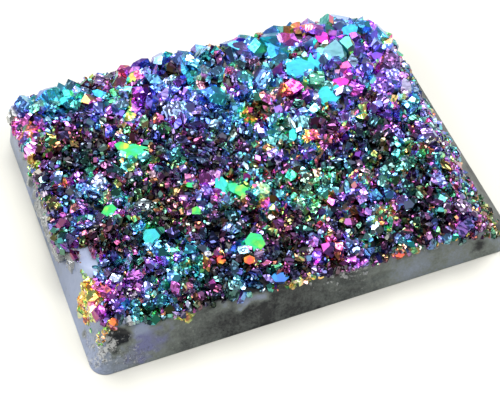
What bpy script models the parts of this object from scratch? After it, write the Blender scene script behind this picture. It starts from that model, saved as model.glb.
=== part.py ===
"""Druzy stone: a rectangular slab of grey chalcedony with ground, leaning walls, under a crust of small
quartz crystals that grew over its top. One stone, so one solid. Metres, +Z up, and the origin is the
centre of the flat underside."""

import math
import random

import bmesh
import bpy
from mathutils import Matrix, Vector, noise

MM = 0.001
MERGE = 0.00001

# The slab, measured at its underside
LENGTH = 26.0 * MM
WIDTH = 19.6 * MM
UNDERSIDE_BEVEL = 0.18 * MM

# Each upright corner's radius, and how round it is: 0.5 is an arc, and 0.25 a flat chamfer
CORNERS = {
    "front_left": (1.0 * MM, 0.5),
    "back_left": (1.4 * MM, 0.5),
    "front_right": (1.4 * MM, 0.5),
    "back_right": (3.8 * MM, 0.38),
}

# How far each wall leans in for each millimetre that it rises: left and right walls at their front and
# back ends, front and back walls at their left and right ends
LEANS = {"left": (0.50, 0.14), "right": (1.10, 0.40), "front": (0.46, 0.40), "back": (0.08, 0.08)}
BLANK_HEIGHT = 5.0 * MM
WALL_STRIPS = 4

# The crust: where it starts on the walls, and how it rises from there
RIM_HEIGHT = 2.2 * MM
RIM_FALL = 0.75 * MM
SHOULDER_HEIGHT = 2.75 * MM
CROWN_HEIGHT = 3.1 * MM
SHOULDER_WIDTH = 2.0 * MM
SHOULDER_START = 0.2
SWELL = 0.30 * MM
SWELL_SIZE = 4.2 * MM
RIPPLE = 0.22 * MM
RIPPLE_SIZE = 1.5 * MM

# Mounds in the crust: x, y, reach, height
MOUNDS = (
    (6.5 * MM, 6.5 * MM, 3.8 * MM, 0.55 * MM),
    (-3.0 * MM, 7.5 * MM, 4.5 * MM, 0.40 * MM),
    (2.5 * MM, 8.6 * MM, 3.0 * MM, 0.20 * MM),
    (1.0 * MM, -3.0 * MM, 3.5 * MM, -0.2 * MM),
)

# Places where the crust starts higher or lower on a wall: x, y, reach, change of height
RIM_CHANGES = (
    (-12.3 * MM, 2.0 * MM, 1.3 * MM, -0.35 * MM),
    (-11.9 * MM, -4.3 * MM, 1.5 * MM, 1.00 * MM),
    (-12.0 * MM, -6.2 * MM, 0.9 * MM, -0.45 * MM),
    (-11.3 * MM, -8.7 * MM, 1.0 * MM, 0.80 * MM),
    (-5.6 * MM, -8.9 * MM, 1.2 * MM, 0.20 * MM),
    (-0.8 * MM, -8.9 * MM, 2.2 * MM, 0.30 * MM),
    (7.2 * MM, -9.1 * MM, 1.6 * MM, 0.15 * MM),
    (12.4 * MM, -5.6 * MM, 1.8 * MM, -0.30 * MM),
    (12.6 * MM, -2.0 * MM, 2.4 * MM, -0.80 * MM),
    (12.4 * MM, 3.0 * MM, 3.0 * MM, -0.35 * MM),
    (7.0 * MM, 9.4 * MM, 2.8 * MM, 0.40 * MM),
    (2.5 * MM, 9.4 * MM, 3.2 * MM, 0.55 * MM),
    (-2.5 * MM, 9.4 * MM, 3.2 * MM, 0.55 * MM),
    (-7.5 * MM, 9.4 * MM, 3.2 * MM, 0.45 * MM),
)

# The close-packed crystals, as six-sided points on a lattice
LATTICE_STEP = 0.50 * MM
LATTICE_MARGIN = 1.2 * MM
LATTICE_JITTER = 0.24
LATTICE_WARP = 0.8 * MM
LATTICE_WARP_SIZE = 3.5 * MM
WARP_OFFSET = Vector((5.0, 7.0, 11.0))
POINT_RISE = (0.16 * MM, 0.52 * MM)
VALLEY_DROP = (0.0, 0.22 * MM)

# The larger crystals that stand out of them
LARGE_COUNT = 64
LARGE_RADIUS = (0.38 * MM, 0.72 * MM)
LARGE_LEAN = math.radians(34)
LARGE_STAND = (0.20, 0.75)
LARGE_SUNK = 1.1 * MM
LARGE_CLEAR = 1.0 * MM
TIP_SLOPE = math.tan(math.radians(45))

# The crystals that spread down the left wall: y, height and radius of each
WALL_CRYSTALS = (
    (3.1 * MM, 1.75 * MM, 0.42 * MM),
    (2.4 * MM, 1.10 * MM, 0.40 * MM),
    (2.3 * MM, 2.05 * MM, 0.50 * MM),
    (1.5 * MM, 0.70 * MM, 0.44 * MM),
    (1.4 * MM, 1.55 * MM, 0.52 * MM),
    (0.6 * MM, 1.15 * MM, 0.40 * MM),
    (0.1 * MM, 1.90 * MM, 0.46 * MM),
    (-2.3 * MM, 2.35 * MM, 0.40 * MM),
    (-5.2 * MM, 2.75 * MM, 0.45 * MM),
    (-5.1 * MM, 1.35 * MM, 0.38 * MM),
    (-5.8 * MM, 1.95 * MM, 0.55 * MM),
    (-6.7 * MM, 2.25 * MM, 0.45 * MM),
)
WALL_CRYSTAL_STAND = (-0.75, -0.45)
WALL_CRYSTAL_LEAN = math.radians(20)

# Hollows in the walls: x, y, z and radii of each, in the order length, width, height
HOLLOWS = (
    ((-11.10 * MM, -9.25 * MM, 2.0 * MM), (0.85 * MM, 0.55 * MM, 0.5 * MM)),
    ((-12.35 * MM, -1.2 * MM, 2.3 * MM), (0.50 * MM, 0.75 * MM, 0.5 * MM)),
    ((4.3 * MM, -9.4 * MM, 0.8 * MM), (0.9 * MM, 0.38 * MM, 0.22 * MM)),
    ((12.75 * MM, 5.8 * MM, 0.7 * MM), (0.40 * MM, 1.0 * MM, 0.3 * MM)),
    ((3.0 * MM, 9.8 * MM, 1.2 * MM), (1.3 * MM, 0.4 * MM, 0.4 * MM)),
)

SEED = 41


def smoothstep(value):
    value = min(1.0, max(0.0, value))
    return value * value * (3.0 - 2.0 * value)


def lean_at(side, share):
    """A wall's lean, share of the way along it."""
    first, last = LEANS[side]
    return first + (last - first) * share


def bumps(x, y, places):
    """The height that smooth bumps or dips give a point, each given by x, y, reach and height."""
    height = 0.0
    for at_x, at_y, reach, change in places:
        away = math.hypot(x - at_x, y - at_y) / reach
        height += change * math.exp(-away * away)
    return height


def rim_height(x, y):
    """Height at which the crust starts on the wall nearest to a point."""
    return RIM_HEIGHT - RIM_FALL * smoothstep(x / LENGTH + 0.5) + bumps(x, y, RIM_CHANGES)


def inside_walls(x, y):
    """How far a point is inside the nearest wall or rounded corner, taken where the crust starts."""
    side = "left" if x < 0 else "right"
    end = "front" if y < 0 else "back"
    rim = rim_height(x, y)
    from_side = LENGTH / 2 - abs(x) - lean_at(side, y / WIDTH + 0.5) * rim
    from_end = WIDTH / 2 - abs(y) - lean_at(end, x / LENGTH + 0.5) * rim
    radius = CORNERS[f"{end}_{side}"][0]
    if from_side < radius and from_end < radius:
        return radius - math.hypot(radius - from_side, radius - from_end)
    return min(from_side, from_end)


def crust_height(x, y):
    """Height of the crust under its crystals: a steep shoulder, then a low dome with swells."""
    inward = inside_walls(x, y)
    crown = CROWN_HEIGHT - SHOULDER_HEIGHT
    dome = SHOULDER_HEIGHT + crown * smoothstep(inward / (WIDTH / 2)) + bumps(x, y, MOUNDS)
    swell = SWELL * noise.noise(Vector((x, y, 0.0)) / SWELL_SIZE)
    swell += RIPPLE * noise.noise(Vector((x, y, 0.0)) / RIPPLE_SIZE)
    rim = rim_height(x, y)
    return rim + (dome + swell - rim) * smoothstep(inward / SHOULDER_WIDTH + SHOULDER_START)


def crust_normal(x, y):
    """Direction in which the crust faces at a point."""
    step = 0.3 * MM
    rise_x = crust_height(x + step, y) - crust_height(x - step, y)
    rise_y = crust_height(x, y + step) - crust_height(x, y - step)
    return Vector((-rise_x, -rise_y, 2.0 * step)).normalized()


def material(name, colour, roughness, metallic):
    made = bpy.data.materials.new(name)
    made.use_nodes = True
    shader = made.node_tree.nodes["Principled BSDF"]
    shader.inputs["Base Color"].default_value = (*colour, 1.0)
    shader.inputs["Roughness"].default_value = roughness
    shader.inputs["Metallic"].default_value = metallic
    return made


def object_from(mesh_maker, name, collection):
    """Makes an object of the bmesh that mesh_maker fills."""
    mesh = bpy.data.meshes.new(name)
    filled = bmesh.new()
    mesh_maker(filled)
    filled.to_mesh(mesh)
    filled.free()
    made = bpy.data.objects.new(name, mesh)
    collection.objects.link(made)
    return made


def fill_blank(blank):
    """The slab before its top broke into crystals: a block with leaning walls and rounded corners. The left
    and right walls twist as their lean changes, so the block is made in strips across."""
    bmesh.ops.create_cube(blank, size=1.0)
    across = Vector((0.0, 1.0, 0.0))
    for number in range(1, WALL_STRIPS):
        everything = blank.verts[:] + blank.edges[:] + blank.faces[:]
        cut = across * (number / WALL_STRIPS - 0.5)
        bmesh.ops.bisect_plane(blank, geom=everything, plane_co=cut, plane_no=across)
    bmesh.ops.scale(blank, vec=(LENGTH, WIDTH, BLANK_HEIGHT), verts=blank.verts)
    bmesh.ops.translate(blank, vec=(0.0, 0.0, BLANK_HEIGHT / 2), verts=blank.verts)
    for point in blank.verts:
        if point.co.z > BLANK_HEIGHT / 2:
            share_x = point.co.x / LENGTH + 0.5
            share_y = point.co.y / WIDTH + 0.5
            lean = lean_at("left", share_y) if share_x < 0.5 else -lean_at("right", share_y)
            point.co.x += BLANK_HEIGHT * lean
            if share_y < 0.01:
                point.co.y += BLANK_HEIGHT * lean_at("front", share_x)
            elif share_y > 0.99:
                point.co.y -= BLANK_HEIGHT * lean_at("back", share_x)
    for name, (radius, roundness) in CORNERS.items():
        deep, across = name.split("_")
        upright = [
            edge
            for edge in blank.edges
            if abs(edge.verts[0].co.z - edge.verts[1].co.z) > BLANK_HEIGHT / 2
            and edge.calc_face_angle() > math.radians(45)
            and all((v.co.x < 0) == (across == "left") for v in edge.verts)
            and all((v.co.y < 0) == (deep == "front") for v in edge.verts)
        ]
        bmesh.ops.bevel(
            blank, geom=upright, offset=radius, segments=5, profile=roundness, affect="EDGES", material=-1
        )
    around = [
        edge
        for edge in blank.edges
        if max(v.co.z for v in edge.verts) < MERGE and edge.calc_face_angle() > math.radians(30)
    ]
    bmesh.ops.bevel(
        blank, geom=around, offset=UNDERSIDE_BEVEL, segments=2, profile=0.5, affect="EDGES", material=-1
    )
    bmesh.ops.triangulate(blank, faces=blank.faces)


def fill_relief(relief):
    """A block whose top is the crystal field. Every third point of a triangular lattice is a crystal's
    tip, and the points round it are the valleys that it shares with its neighbours."""
    row_step = LATTICE_STEP * math.sqrt(3) / 2
    columns = 2 * math.ceil((LENGTH / 2 + LATTICE_MARGIN) / LATTICE_STEP)
    rows = 2 * math.ceil((WIDTH / 2 + LATTICE_MARGIN) / row_step)
    bmesh.ops.create_grid(relief, x_segments=columns, y_segments=rows, size=0.5)
    places = {}
    for point in relief.verts:
        column = round((point.co.x + 0.5) * columns)
        row = round((point.co.y + 0.5) * rows)
        places[point] = (column, row)
        point.co.x = (column - columns / 2 + 0.5 * (row % 2) - 0.25) * LATTICE_STEP
        point.co.y = (row - rows / 2) * row_step
    bmesh.ops.triangulate(relief, faces=relief.faces, quad_method="SHORT_EDGE")
    for point, (column, row) in places.items():
        is_tip = (column - (row - row % 2) // 2 - row) % 3 == 0
        warp_x = LATTICE_WARP * noise.noise(point.co / LATTICE_WARP_SIZE + WARP_OFFSET)
        warp_y = LATTICE_WARP * noise.noise(point.co / LATTICE_WARP_SIZE - WARP_OFFSET)
        jitter = LATTICE_JITTER * LATTICE_STEP
        point.co.x += warp_x + random.uniform(-jitter, jitter)
        point.co.y += warp_y + random.uniform(-jitter, jitter)
        outward = crust_normal(point.co.x, point.co.y)
        point.co.z = crust_height(point.co.x, point.co.y)
        point.co += outward * (random.uniform(*POINT_RISE) if is_tip else -random.uniform(*VALLEY_DROP))
    made = bmesh.ops.extrude_face_region(relief, geom=relief.faces[:], use_keep_orig=True)["geom"]
    for point in (item for item in made if isinstance(item, bmesh.types.BMVert)):
        point.co.z = -LATTICE_MARGIN
    bmesh.ops.recalc_face_normals(relief, faces=relief.faces)


def large_crystal_filler(radius, stand, place):
    """Returns a function that fills a bmesh with one six-sided quartz crystal, set at place."""

    def fill(crystal):
        length = LARGE_SUNK + stand * radius
        bmesh.ops.create_cone(
            crystal, cap_ends=True, segments=6, radius1=radius, radius2=radius, depth=length
        )
        top = max(crystal.faces, key=lambda face: face.calc_center_median().z)
        bmesh.ops.poke(crystal, faces=[top], offset=radius * TIP_SLOPE)
        bmesh.ops.translate(crystal, vec=(0.0, 0.0, length / 2 - LARGE_SUNK), verts=crystal.verts)
        bmesh.ops.transform(crystal, matrix=place, verts=crystal.verts)

    return fill


def large_places():
    """Centres of the larger crystals: spread at random, clear of each other, and inside the walls."""
    places = []
    while len(places) < LARGE_COUNT:
        x = random.uniform(-LENGTH / 2, LENGTH / 2)
        y = random.uniform(-WIDTH / 2, WIDTH / 2)
        apart = all(math.hypot(x - a, y - b) > 2 * LARGE_CLEAR for a, b in places)
        if apart and inside_walls(x, y) > LARGE_CLEAR:
            places.append((x, y))
    return places


def add_crystal(name, radius, stand, most_lean, at, outward, collection):
    """Sets a crystal on the stone at a point, leaning at random from the direction outward."""
    lean = Matrix.Rotation(random.uniform(0.0, most_lean), 4, "X")
    about = Matrix.Rotation(random.uniform(0.0, math.tau), 4, "Z")
    spin = Matrix.Rotation(random.uniform(0.0, math.tau), 4, "Z")
    turn = outward.to_track_quat("Z", "Y").to_matrix().to_4x4()
    place = Matrix.Translation(at) @ turn @ about @ lean @ spin
    object_from(large_crystal_filler(radius, random.uniform(*stand), place), name, collection)


def add_crystals(collection):
    for number, (x, y) in enumerate(large_places()):
        radius = random.uniform(*LARGE_RADIUS)
        at = Vector((x, y, crust_height(x, y)))
        outward = crust_normal(x, y)
        add_crystal(f"large_crystal_{number}", radius, LARGE_STAND, LARGE_LEAN, at, outward, collection)
    for number, (y, z, radius) in enumerate(WALL_CRYSTALS):
        lean = lean_at("left", y / WIDTH + 0.5)
        at = Vector((lean * z - LENGTH / 2, y, z))
        outward = Vector((-1.0, 0.0, lean)).normalized()
        add_crystal(
            f"wall_crystal_{number}", radius, WALL_CRYSTAL_STAND, WALL_CRYSTAL_LEAN, at, outward, collection
        )


def hollow_filler(centre, radii):
    """Returns a function that fills a bmesh with one egg-shaped cutter."""

    def fill(hollow):
        bmesh.ops.create_icosphere(hollow, subdivisions=2, radius=1.0)
        bmesh.ops.scale(hollow, vec=radii, verts=hollow.verts)
        bmesh.ops.translate(hollow, vec=centre, verts=hollow.verts)

    return fill


def add_boolean(target, operation, operand):
    """Adds a Boolean with an object, or with all of a collection."""
    modifier = target.modifiers.new(operation.title(), "BOOLEAN")
    modifier.solver = "EXACT"
    modifier.operation = operation
    if isinstance(operand, bpy.types.Collection):
        modifier.operand_type = "COLLECTION"
        modifier.collection = operand
    else:
        modifier.object = operand


def helper_collection(name):
    """A collection of shapes that are joined to the stone, or cut from it, and aren't parts themselves."""
    made = bpy.data.collections.new(name)
    bpy.context.scene.collection.children.link(made)
    made.hide_render = True
    return made


def build():
    for old in list(bpy.data.objects):
        bpy.data.objects.remove(old)
    random.seed(SEED)
    stones = bpy.data.collections.new("druzy stone")
    bpy.context.scene.collection.children.link(stones)
    relief_shapes = helper_collection("relief")
    crystals = helper_collection("large crystals")
    hollows = helper_collection("hollows")

    stone = object_from(fill_blank, "druzy_stone", stones)
    stone.data.materials.append(material("coated quartz", (0.18, 0.16, 0.34), 0.25, 0.6))
    relief = object_from(fill_relief, "relief", relief_shapes)
    add_crystals(crystals)
    for number, (centre, radii) in enumerate(HOLLOWS):
        object_from(hollow_filler(centre, radii), f"hollow_{number}", hollows)
    for helper in [relief, *crystals.objects, *hollows.objects]:
        helper.hide_render = True
        helper.display_type = "WIRE"

    add_boolean(stone, "INTERSECT", relief)
    add_boolean(stone, "UNION", crystals)
    add_boolean(stone, "DIFFERENCE", hollows)


build()
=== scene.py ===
import math
import random

import bmesh
import bpy
import numpy as np
from mathutils import Matrix, Vector, noise
from mathutils.bvhtree import BVHTree


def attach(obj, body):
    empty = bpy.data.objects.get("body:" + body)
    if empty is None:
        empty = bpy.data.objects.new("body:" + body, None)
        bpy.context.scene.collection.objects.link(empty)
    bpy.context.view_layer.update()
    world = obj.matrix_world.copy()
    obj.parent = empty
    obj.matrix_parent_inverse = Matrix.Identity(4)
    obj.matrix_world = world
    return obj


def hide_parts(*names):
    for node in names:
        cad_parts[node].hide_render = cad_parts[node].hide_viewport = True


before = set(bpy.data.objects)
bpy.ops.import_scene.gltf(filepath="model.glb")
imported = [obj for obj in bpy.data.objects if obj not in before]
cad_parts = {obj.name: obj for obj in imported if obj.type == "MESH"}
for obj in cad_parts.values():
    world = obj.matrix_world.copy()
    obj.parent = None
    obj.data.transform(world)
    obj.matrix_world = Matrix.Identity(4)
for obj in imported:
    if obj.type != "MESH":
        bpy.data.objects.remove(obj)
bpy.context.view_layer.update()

mm = 0.001
random.seed(11)


def lengths(*rows):
    # rows of lengths, written in millimetres
    return [[length * mm for length in row] for row in rows]


# the stone's form, in the CAD's numbers
stone = {
    "length": 26.0 * mm,
    "width": 19.6 * mm,
    "undersideBevel": 0.18 * mm,
    "inset": 0.04 * mm,
    # how far each wall leans in per millimetre of height, at its first and its last end
    "leans": {"left": (0.50, 0.14), "right": (1.10, 0.40), "front": (0.46, 0.40), "back": (0.08, 0.08)},
    # radius of each upright corner, and how much its arc is flattened
    "corners": {
        "front left": (1.0 * mm, 0.0), "back left": (1.4 * mm, 0.0),
        "front right": (1.4 * mm, 0.0), "back right": (3.8 * mm, 0.14),
    },
    "rimHeight": 2.2 * mm,
    "rimFall": 0.75 * mm,
    "shoulderHeight": 2.75 * mm,
    "crownHeight": 3.1 * mm,
    "shoulderWidth": 2.0 * mm,
    "shoulderStart": 0.2,
    "swell": 0.30 * mm,
    "swellSize": 4.2 * mm,
    "ripple": 0.22 * mm,
    "rippleSize": 1.5 * mm,
    "slopeStep": 0.3 * mm,
    # x, y, reach, height
    "mounds": lengths(
        (6.5, 6.5, 3.8, 0.55),
        (-3.0, 7.5, 4.5, 0.4),
        (2.5, 8.6, 3.0, 0.2),
        (1.0, -3.0, 3.5, -0.2),
    ),
    # places where the crust starts higher or lower on a wall: x, y, reach, change of height
    "rimChanges": lengths(
        (-12.3, 2.0, 1.3, -0.35),
        (-11.9, -4.3, 1.5, 1.0),
        (-12.0, -6.2, 0.9, -0.45),
        (-11.3, -8.7, 1.0, 0.8),
        (-5.6, -8.9, 1.2, 0.2),
        (-0.8, -8.9, 2.2, 0.3),
        (7.2, -9.1, 1.6, 0.15),
        (12.4, -5.6, 1.8, -0.3),
        (12.6, -2.0, 2.4, -0.8),
        (12.4, 3.0, 3.0, -0.35),
        (7.0, 9.4, 2.8, 0.4),
        (2.5, 9.4, 3.2, 0.55),
        (-2.5, 9.4, 3.2, 0.55),
        (-7.5, 9.4, 3.2, 0.45),
    ),
    # place along the left wall, width of the strip without a crust there, both in millimetres
    "bareStrip": (
        (-9.0, 0.20), (-7.5, 0.25), (-6.0, 0.30), (-5.0, 0.60),
        (-4.2, 0.90), (-3.4, 1.10), (-2.6, 0.85), (-1.9, 0.0),
    ),
    "bareStripEnd": -9.5 * mm,
    # hollows in the walls: centre, radii
    "hollows": (
        lengths((-11.1, -9.25, 2.0), (0.85, 0.55, 0.5)),
        lengths((-12.35, -1.2, 2.3), (0.5, 0.75, 0.5)),
        lengths((4.3, -9.4, 0.8), (0.9, 0.38, 0.22)),
        lengths((12.75, 5.8, 0.7), (0.4, 1.0, 0.3)),
        lengths((3.0, 9.8, 1.2), (1.3, 0.4, 0.4)),
    ),
}

# past this many reaches a bump or a spot has faded away
fadedAway = 3.0


def clamped(value):
    return min(1.0, max(0.0, value))


def smoothstep(value):
    value = clamped(value)
    return value * value * (3.0 - 2.0 * value)


def leanAt(side, share):
    first, last = stone["leans"][side]
    return first + (last - first) * share


def leansAt(across, deep):
    # how far the nearest side and end walls lean in; across and deep run from -0.5 to 0.5
    side = leanAt("left" if across < 0 else "right", deep + 0.5)
    return side, leanAt("front" if deep < 0 else "back", across + 0.5)


def cornerName(x, y):
    return ("front " if y < 0 else "back ") + ("left" if x < 0 else "right")


def bumps(x, y, places):
    height = 0.0
    for atX, atY, reach, change in places:
        away = math.hypot(x - atX, y - atY) / reach
        if away < fadedAway:
            height += change * math.exp(-away * away)
    return height


def rimHeight(x, y):
    fall = stone["rimFall"] * smoothstep(x / stone["length"] + 0.5)
    return stone["rimHeight"] - fall + bumps(x, y, stone["rimChanges"])


def insideWalls(x, y):
    # how far a point is inside the nearest wall, taken where the crust starts
    leanX, leanY = leansAt(x / stone["length"], y / stone["width"])
    rim = rimHeight(x, y)
    fromSide = stone["length"] / 2 - abs(x) - leanX * rim
    fromEnd = stone["width"] / 2 - abs(y) - leanY * rim
    radius = stone["corners"][cornerName(x, y)][0]
    if fromSide < radius and fromEnd < radius:
        return radius - math.hypot(radius - fromSide, radius - fromEnd)
    return min(fromSide, fromEnd)


def bareMargin(x, y):
    # how wide a strip along the left wall the crust leaves free
    if x > stone["bareStripEnd"]:
        return 0.0
    return float(np.interp(y / mm, *zip(*stone["bareStrip"]))) * mm


def crustHeight(x, y):
    # height of the bed that the crystals stand on
    inward = insideWalls(x, y)
    crown = stone["crownHeight"] - stone["shoulderHeight"]
    dome = stone["shoulderHeight"] + crown * smoothstep(inward / (stone["width"] / 2))
    dome += bumps(x, y, stone["mounds"])
    dome += stone["swell"] * noise.noise(Vector((x, y, 0.0)) / stone["swellSize"])
    dome += stone["ripple"] * noise.noise(Vector((x, y, 0.0)) / stone["rippleSize"])
    rim = rimHeight(x, y)
    rise = smoothstep(inward / stone["shoulderWidth"] + stone["shoulderStart"])
    return rim + (dome - rim) * rise


def crustNormal(x, y):
    step = stone["slopeStep"]
    riseX = crustHeight(x + step, y) - crustHeight(x - step, y)
    riseY = crustHeight(x, y + step) - crustHeight(x, y - step)
    return Vector((-riseX, -riseY, 2.0 * step)).normalized()


def wallPoint(u, v, z):
    # a point of the slab: u and v run from -1 to 1 across it, and the walls lean in with z
    leanX, leanY = leansAt(u / 2, v / 2)
    halfX = stone["length"] / 2 - leanX * z - stone["inset"]
    halfY = stone["width"] / 2 - leanY * z - stone["inset"]
    x, y = abs(u) * halfX, abs(v) * halfY
    radius, flat = stone["corners"][cornerName(u, v)]
    cornerX, cornerY = (x - halfX + radius) / radius, (y - halfY + radius) / radius
    if cornerX > 0.0 and cornerY > 0.0:
        roundX = cornerX * math.sqrt(1.0 - cornerY * cornerY / 2)
        roundY = cornerY * math.sqrt(1.0 - cornerX * cornerX / 2)
        keep = 1.0 - flat * (2.0 * roundX * roundY) ** 2
        x = halfX - radius + roundX * keep * radius
        y = halfY - radius + roundY * keep * radius
    return Vector((math.copysign(x, u), math.copysign(y, v), z))


def newMaterial(name):
    made = bpy.data.materials.new(name)
    made.use_nodes = True
    return made, made.node_tree, made.node_tree.nodes["Principled BSDF"]


def feed(tree, node, values):
    # gives a node's sockets their numbers, their colours or other nodes' outputs
    for key, value in values.items():
        socket = node.inputs[key]
        if isinstance(value, bpy.types.NodeSocket):
            tree.links.new(value, socket)
        elif socket.type == "RGBA":
            socket.default_value = (*value, 1.0)
        else:
            socket.default_value = value


def addNode(tree, kind, values, **settings):
    made = tree.nodes.new("ShaderNode" + kind)
    for name, value in settings.items():
        setattr(made, name, value)
    feed(tree, made, values)
    return made.outputs


def addNoise(tree, where, scale, detail, roughness):
    values = {"Vector": where, "Scale": scale, "Detail": detail, "Roughness": roughness}
    return addNode(tree, "TexNoise", values)["Fac"]


def addRamp(tree, factor, stops):
    made = tree.nodes.new("ShaderNodeValToRGB")
    elements = made.color_ramp.elements
    while len(elements) < len(stops):
        elements.new(0.5)
    for element, (position, colour) in zip(elements, stops):
        element.position = position
        element.color = (*colour, 1.0) if isinstance(colour, tuple) else (colour, colour, colour, 1.0)
    feed(tree, made, {"Fac": factor})
    return made.outputs["Color"]


def addMath(tree, operation, *values):
    return addNode(tree, "Math", dict(enumerate(values)), operation=operation)[0]


def addSwing(tree, value):
    # a value from 0 to 1, moved to lie round 0
    return addMath(tree, "SUBTRACT", value, 0.5)


def addMix(tree, factor, first, second, blendType="MIX"):
    # sockets 6 and 7 and output 2 are the node's colours
    values = {0: factor, 6: first, 7: second}
    return addNode(tree, "Mix", values, data_type="RGBA", blend_type=blendType)[2]


def addVector(tree, operation, values):
    return addNode(tree, "VectorMath", values, operation=operation)["Vector"]


def addAttribute(tree, name, output="Fac"):
    return addNode(tree, "Attribute", {}, attribute_name=name)[output]


film = {
    # the coating's colours as it gets thicker, over one round of the spectrum
    "colours": (
        (0.00, (0.98, 0.70, 0.23)),
        (0.04, (0.95, 0.41, 0.22)),
        (0.08, (0.87, 0.21, 0.46)),
        (0.14, (0.82, 0.21, 0.74)),
        (0.22, (0.68, 0.22, 0.80)),
        (0.31, (0.47, 0.24, 0.79)),
        (0.43, (0.28, 0.28, 0.81)),
        (0.57, (0.22, 0.46, 0.83)),
        (0.70, (0.21, 0.72, 0.84)),
        (0.84, (0.20, 0.79, 0.66)),
        (0.92, (0.21, 0.82, 0.38)),
        (0.97, (0.71, 0.82, 0.27)),
        (1.00, (0.98, 0.70, 0.23)),
    ),
    "greyest": (0.46, 0.47, 0.48),
    "pale": 0.9,
    # painted light and shade: how much of its colour a face keeps, from the dimmest to the brightest, for
    # facets lit and unlit by the lamps, and partly the crust's own tone
    "paintedDimming": ((0.10, (0.215, 0.195, 0.17)), (0.80, 1.0)),
    # scale, detail and roughness of the noises
    "drift": (1500.0, 2.0, 0.5),
    "lines": (9000.0, 2.0, 0.6),
    "driftTint": 0.12,
    # slivers and fine lines on the crystals' faces
    "sliverScale": 8000.0,
    "sliverLength": 3.0,
    "sliverTurn": 1.0,
    "sliverTint": 0.05,
    "lineStrength": 0.25,
    "lineDepth": 0.012 * mm,
    "lineSatin": 0.08,
    "polish": 0.04,
    "satin": 0.22,
    "gloss": {"Coat Weight": 0.35, "Coat Roughness": 0.08, "Coat IOR": 1.8},
}


def crustMaterial():
    made, tree, shader = newMaterial("rainbow coated quartz")
    where = addNode(tree, "TexCoord", {})["Object"]
    names = ("film", "painted_light_and_tone", "frost", "depth")
    thickness, painted_light_and_tone, frost, depth = (addAttribute(tree, name) for name in names)

    # a frosted face breaks up into slivers, each turned a little its own way, so that it glints by itself
    grain = addAttribute(tree, "grain", "Vector")
    long = (1.0 / film["sliverLength"], 1.0, 1.0)
    along = addNode(tree, "Mapping", {"Vector": grain, "Scale": long})["Vector"]
    slivers = addNode(tree, "TexVoronoi", {"Vector": along, "Scale": film["sliverScale"]})["Color"]
    turned = addVector(tree, "SUBTRACT", {0: slivers, 1: (0.5, 0.5, 0.5)})
    turn = addMath(tree, "MULTIPLY", frost, film["sliverTurn"])
    turned = addVector(tree, "SCALE", {0: turned, "Scale": turn})
    facing = addVector(tree, "ADD", {0: addNode(tree, "NewGeometry", {})["Normal"], 1: turned})
    facing = addVector(tree, "NORMALIZE", {0: facing})

    # film colour: the face's own thickness, slow drift across it, and a little for each sliver
    drift = addSwing(tree, addNoise(tree, where, *film["drift"]))
    shift = addMath(tree, "MULTIPLY_ADD", drift, film["driftTint"] * 2, thickness)
    sliver = addNode(tree, "SeparateColor", {"Color": slivers})["Blue"]
    spark = addMath(tree, "MULTIPLY", addSwing(tree, sliver), frost)
    tint = addMath(tree, "MULTIPLY_ADD", spark, film["sliverTint"] * 2, shift)
    colour = addRamp(tree, addMath(tree, "FRACT", tint), film["colours"])

    # a face of some depth is deeper in colour, and one of less than none is greyer
    colour = addMix(tree, depth, colour, addMix(tree, 1.0, colour, colour, "MULTIPLY"))
    colour = addMix(tree, addMath(tree, "MULTIPLY", depth, -film["pale"]), colour, film["greyest"])
    # painted light and shade: the face's painted light darkens its colour or keeps it
    dimmed = addRamp(tree, painted_light_and_tone, film["paintedDimming"])

    # faces are polished where their painted light is dim and satin where it is bright
    lines = addNoise(tree, along, *film["lines"])
    satin = addMath(tree, "MULTIPLY_ADD", painted_light_and_tone, film["satin"], film["polish"])
    bump = {"Strength": film["lineStrength"], "Distance": film["lineDepth"]}
    bump = addNode(tree, "Bump", {**bump, "Height": lines, "Normal": facing})["Normal"]
    feed(tree, shader, {
        "Base Color": addMix(tree, 1.0, colour, dimmed, "MULTIPLY"),
        "Metallic": 1.0,
        "Roughness": addMath(tree, "MULTIPLY_ADD", lines, film["lineSatin"], satin),
        "Normal": bump,
        "Coat Normal": facing,
        **film["gloss"],
    })
    return made


chalcedony = {
    # the stone's colours from its darkest to its lightest, picked by the walls' painted light and shade
    "tones": ((0.05, (0.012, 0.014, 0.017)), (0.50, (0.20, 0.225, 0.205)), (1.0, (0.31, 0.36, 0.50))),
    # painted sheen colour, partly the coating's own violet
    "oversprayAndSheenViolet": (0.18, 0.19, 0.37),
    "chalk": (0.62, 0.62, 0.60),
    "crease": (0.05, 0.055, 0.06),
    # painted shade: the bed under the crust is near black, for the shade in the gaps between crystals
    "paintedGapShade": (0.01, 0.01, 0.012),
    # the same of these noises
    "clouds": (420.0, 5.0, 0.65),
    "grains": (6500.0, 3.0, 0.75),
    "veins": (2400.0, 3.0, 0.6),
    "cloudTone": 1.1,
    "grainTone": 0.55,
    # where the painted sheen, specks and veins start and end, and how the grain roughens the stone
    "oversprayAndSheenMask": ((0.25, 0.0), (0.85, 1.0)),
    "specks": ((0.70, 0.0), (0.82, 1.0)),
    "speckShare": 0.8,
    "veinWidth": ((0.0, 1.0), (0.035, 0.0)),
    "veinShare": 3.5,
    "roughness": ((0.3, 0.26), (0.75, 0.55)),
    "gloss": 0.4,
    "bumpStrength": 0.4,
    "bumpDepth": 0.02 * mm,
}


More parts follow.
